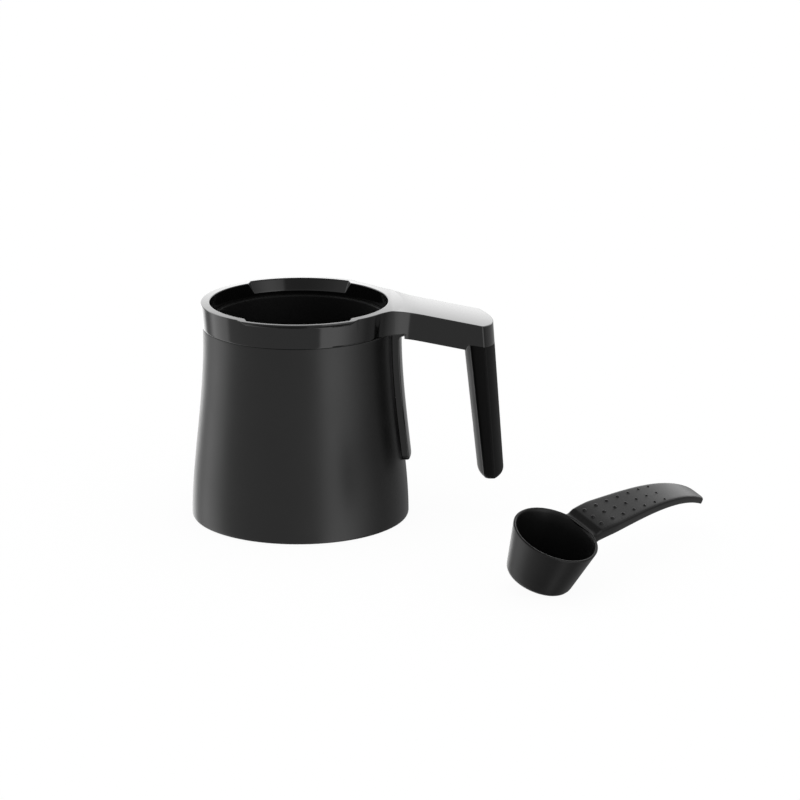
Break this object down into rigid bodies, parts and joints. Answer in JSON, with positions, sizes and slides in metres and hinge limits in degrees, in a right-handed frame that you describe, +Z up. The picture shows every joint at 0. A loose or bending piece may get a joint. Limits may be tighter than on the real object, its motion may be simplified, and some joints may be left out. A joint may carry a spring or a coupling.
{
  "type": "electric coffee pot",
  "caption": "Cordless electric pot for boiled coffee, with a tapering body, opposite pouring lips, an open L-shaped handle, a round coupler underneath and a separate measuring scoop.",
  "frame": {"origin": "on the pot's axis, in the plane that the pot and the scoop stand on", "axes": "+Z up along the pot's axis, +X from the pot's axis along the handle, the pouring lips face -Y and +Y"},
  "size_m": [0.1981, 0.1556, 0.0856],
  "materials": {
    "shell_satin": "satin black, moulded",
    "handle_gloss": "gloss black, moulded",
    "vessel_coating": "dark non-stick coating on steel sheet",
    "gasket_silicone": "matt silicone",
    "steel_plain": "plain steel",
    "heater_aluminium": "cast, plain",
    "contact_brass": "plain, slightly dull",
    "base_moulding": "fine matt grain",
    "ceramic_white": "glazed ceramic look",
    "lead_sleeve": "woven glass sleeve",
    "scoop_satin": "satin black, moulded"
  },
  "bodies": {
    "pot": {"body_shell": "shell_satin", "handle_frame": "handle_gloss", "tongue_screws": "steel_plain", "arm_cover": "handle_gloss", "arm_cover_screws": "steel_plain", "grip": "handle_gloss", "grip_strap": "steel_plain", "strap_screws": "steel_plain", "grip_screw": "steel_plain", "inner_vessel": "vessel_coating", "rim_gasket": "gasket_silicone", "vessel_pillars": "steel_plain", "heater_plate": "heater_aluminium", "heating_element": "heater_aluminium", "thermal_fuse": "ceramic_white", "boil_sensor": "contact_brass", "sensor_spring": "steel_plain", "coupler_body": "base_moulding", "centre_contact": "contact_brass", "small_contact_ring": "contact_brass", "large_contact_ring": "contact_brass", "coupler_screws": "steel_plain", "bimetal_disc_left": "steel_plain", "bimetal_disc_right": "steel_plain", "contact_leaf_left": "contact_brass", "contact_leaf_right": "contact_brass", "fixed_contacts": "contact_brass", "power_leads": "lead_sleeve", "base_cover": "base_moulding", "base_seal": "gasket_silicone", "base_screws": "steel_plain"},
    "trip_pin_left": {"trip_pin_left": "ceramic_white"},
    "trip_pin_right": {"trip_pin_right": "ceramic_white"},
    "measuring_scoop": {"measuring_scoop": "scoop_satin"}
  },
  "joints": [
    {"name": "trip_left", "type": "slide", "parent": "pot", "child": "trip_pin_left", "axis": [0, 0, -1], "range_m": [0, 0.0008], "stiffness_N_per_m": 80, "deforming": ["contact_leaf_left", "bimetal_disc_left"]},
    {"name": "trip_right", "type": "slide", "parent": "pot", "child": "trip_pin_right", "axis": [0, 0, -1], "range_m": [0, 0.0008], "stiffness_N_per_m": 80, "deforming": ["contact_leaf_right", "bimetal_disc_right"]},
    {"name": "scoop_lift", "type": "slide", "parent": "pot", "child": "measuring_scoop", "axis": [0, 0, 1], "range_m": [0, 0.12]}
  ]
}
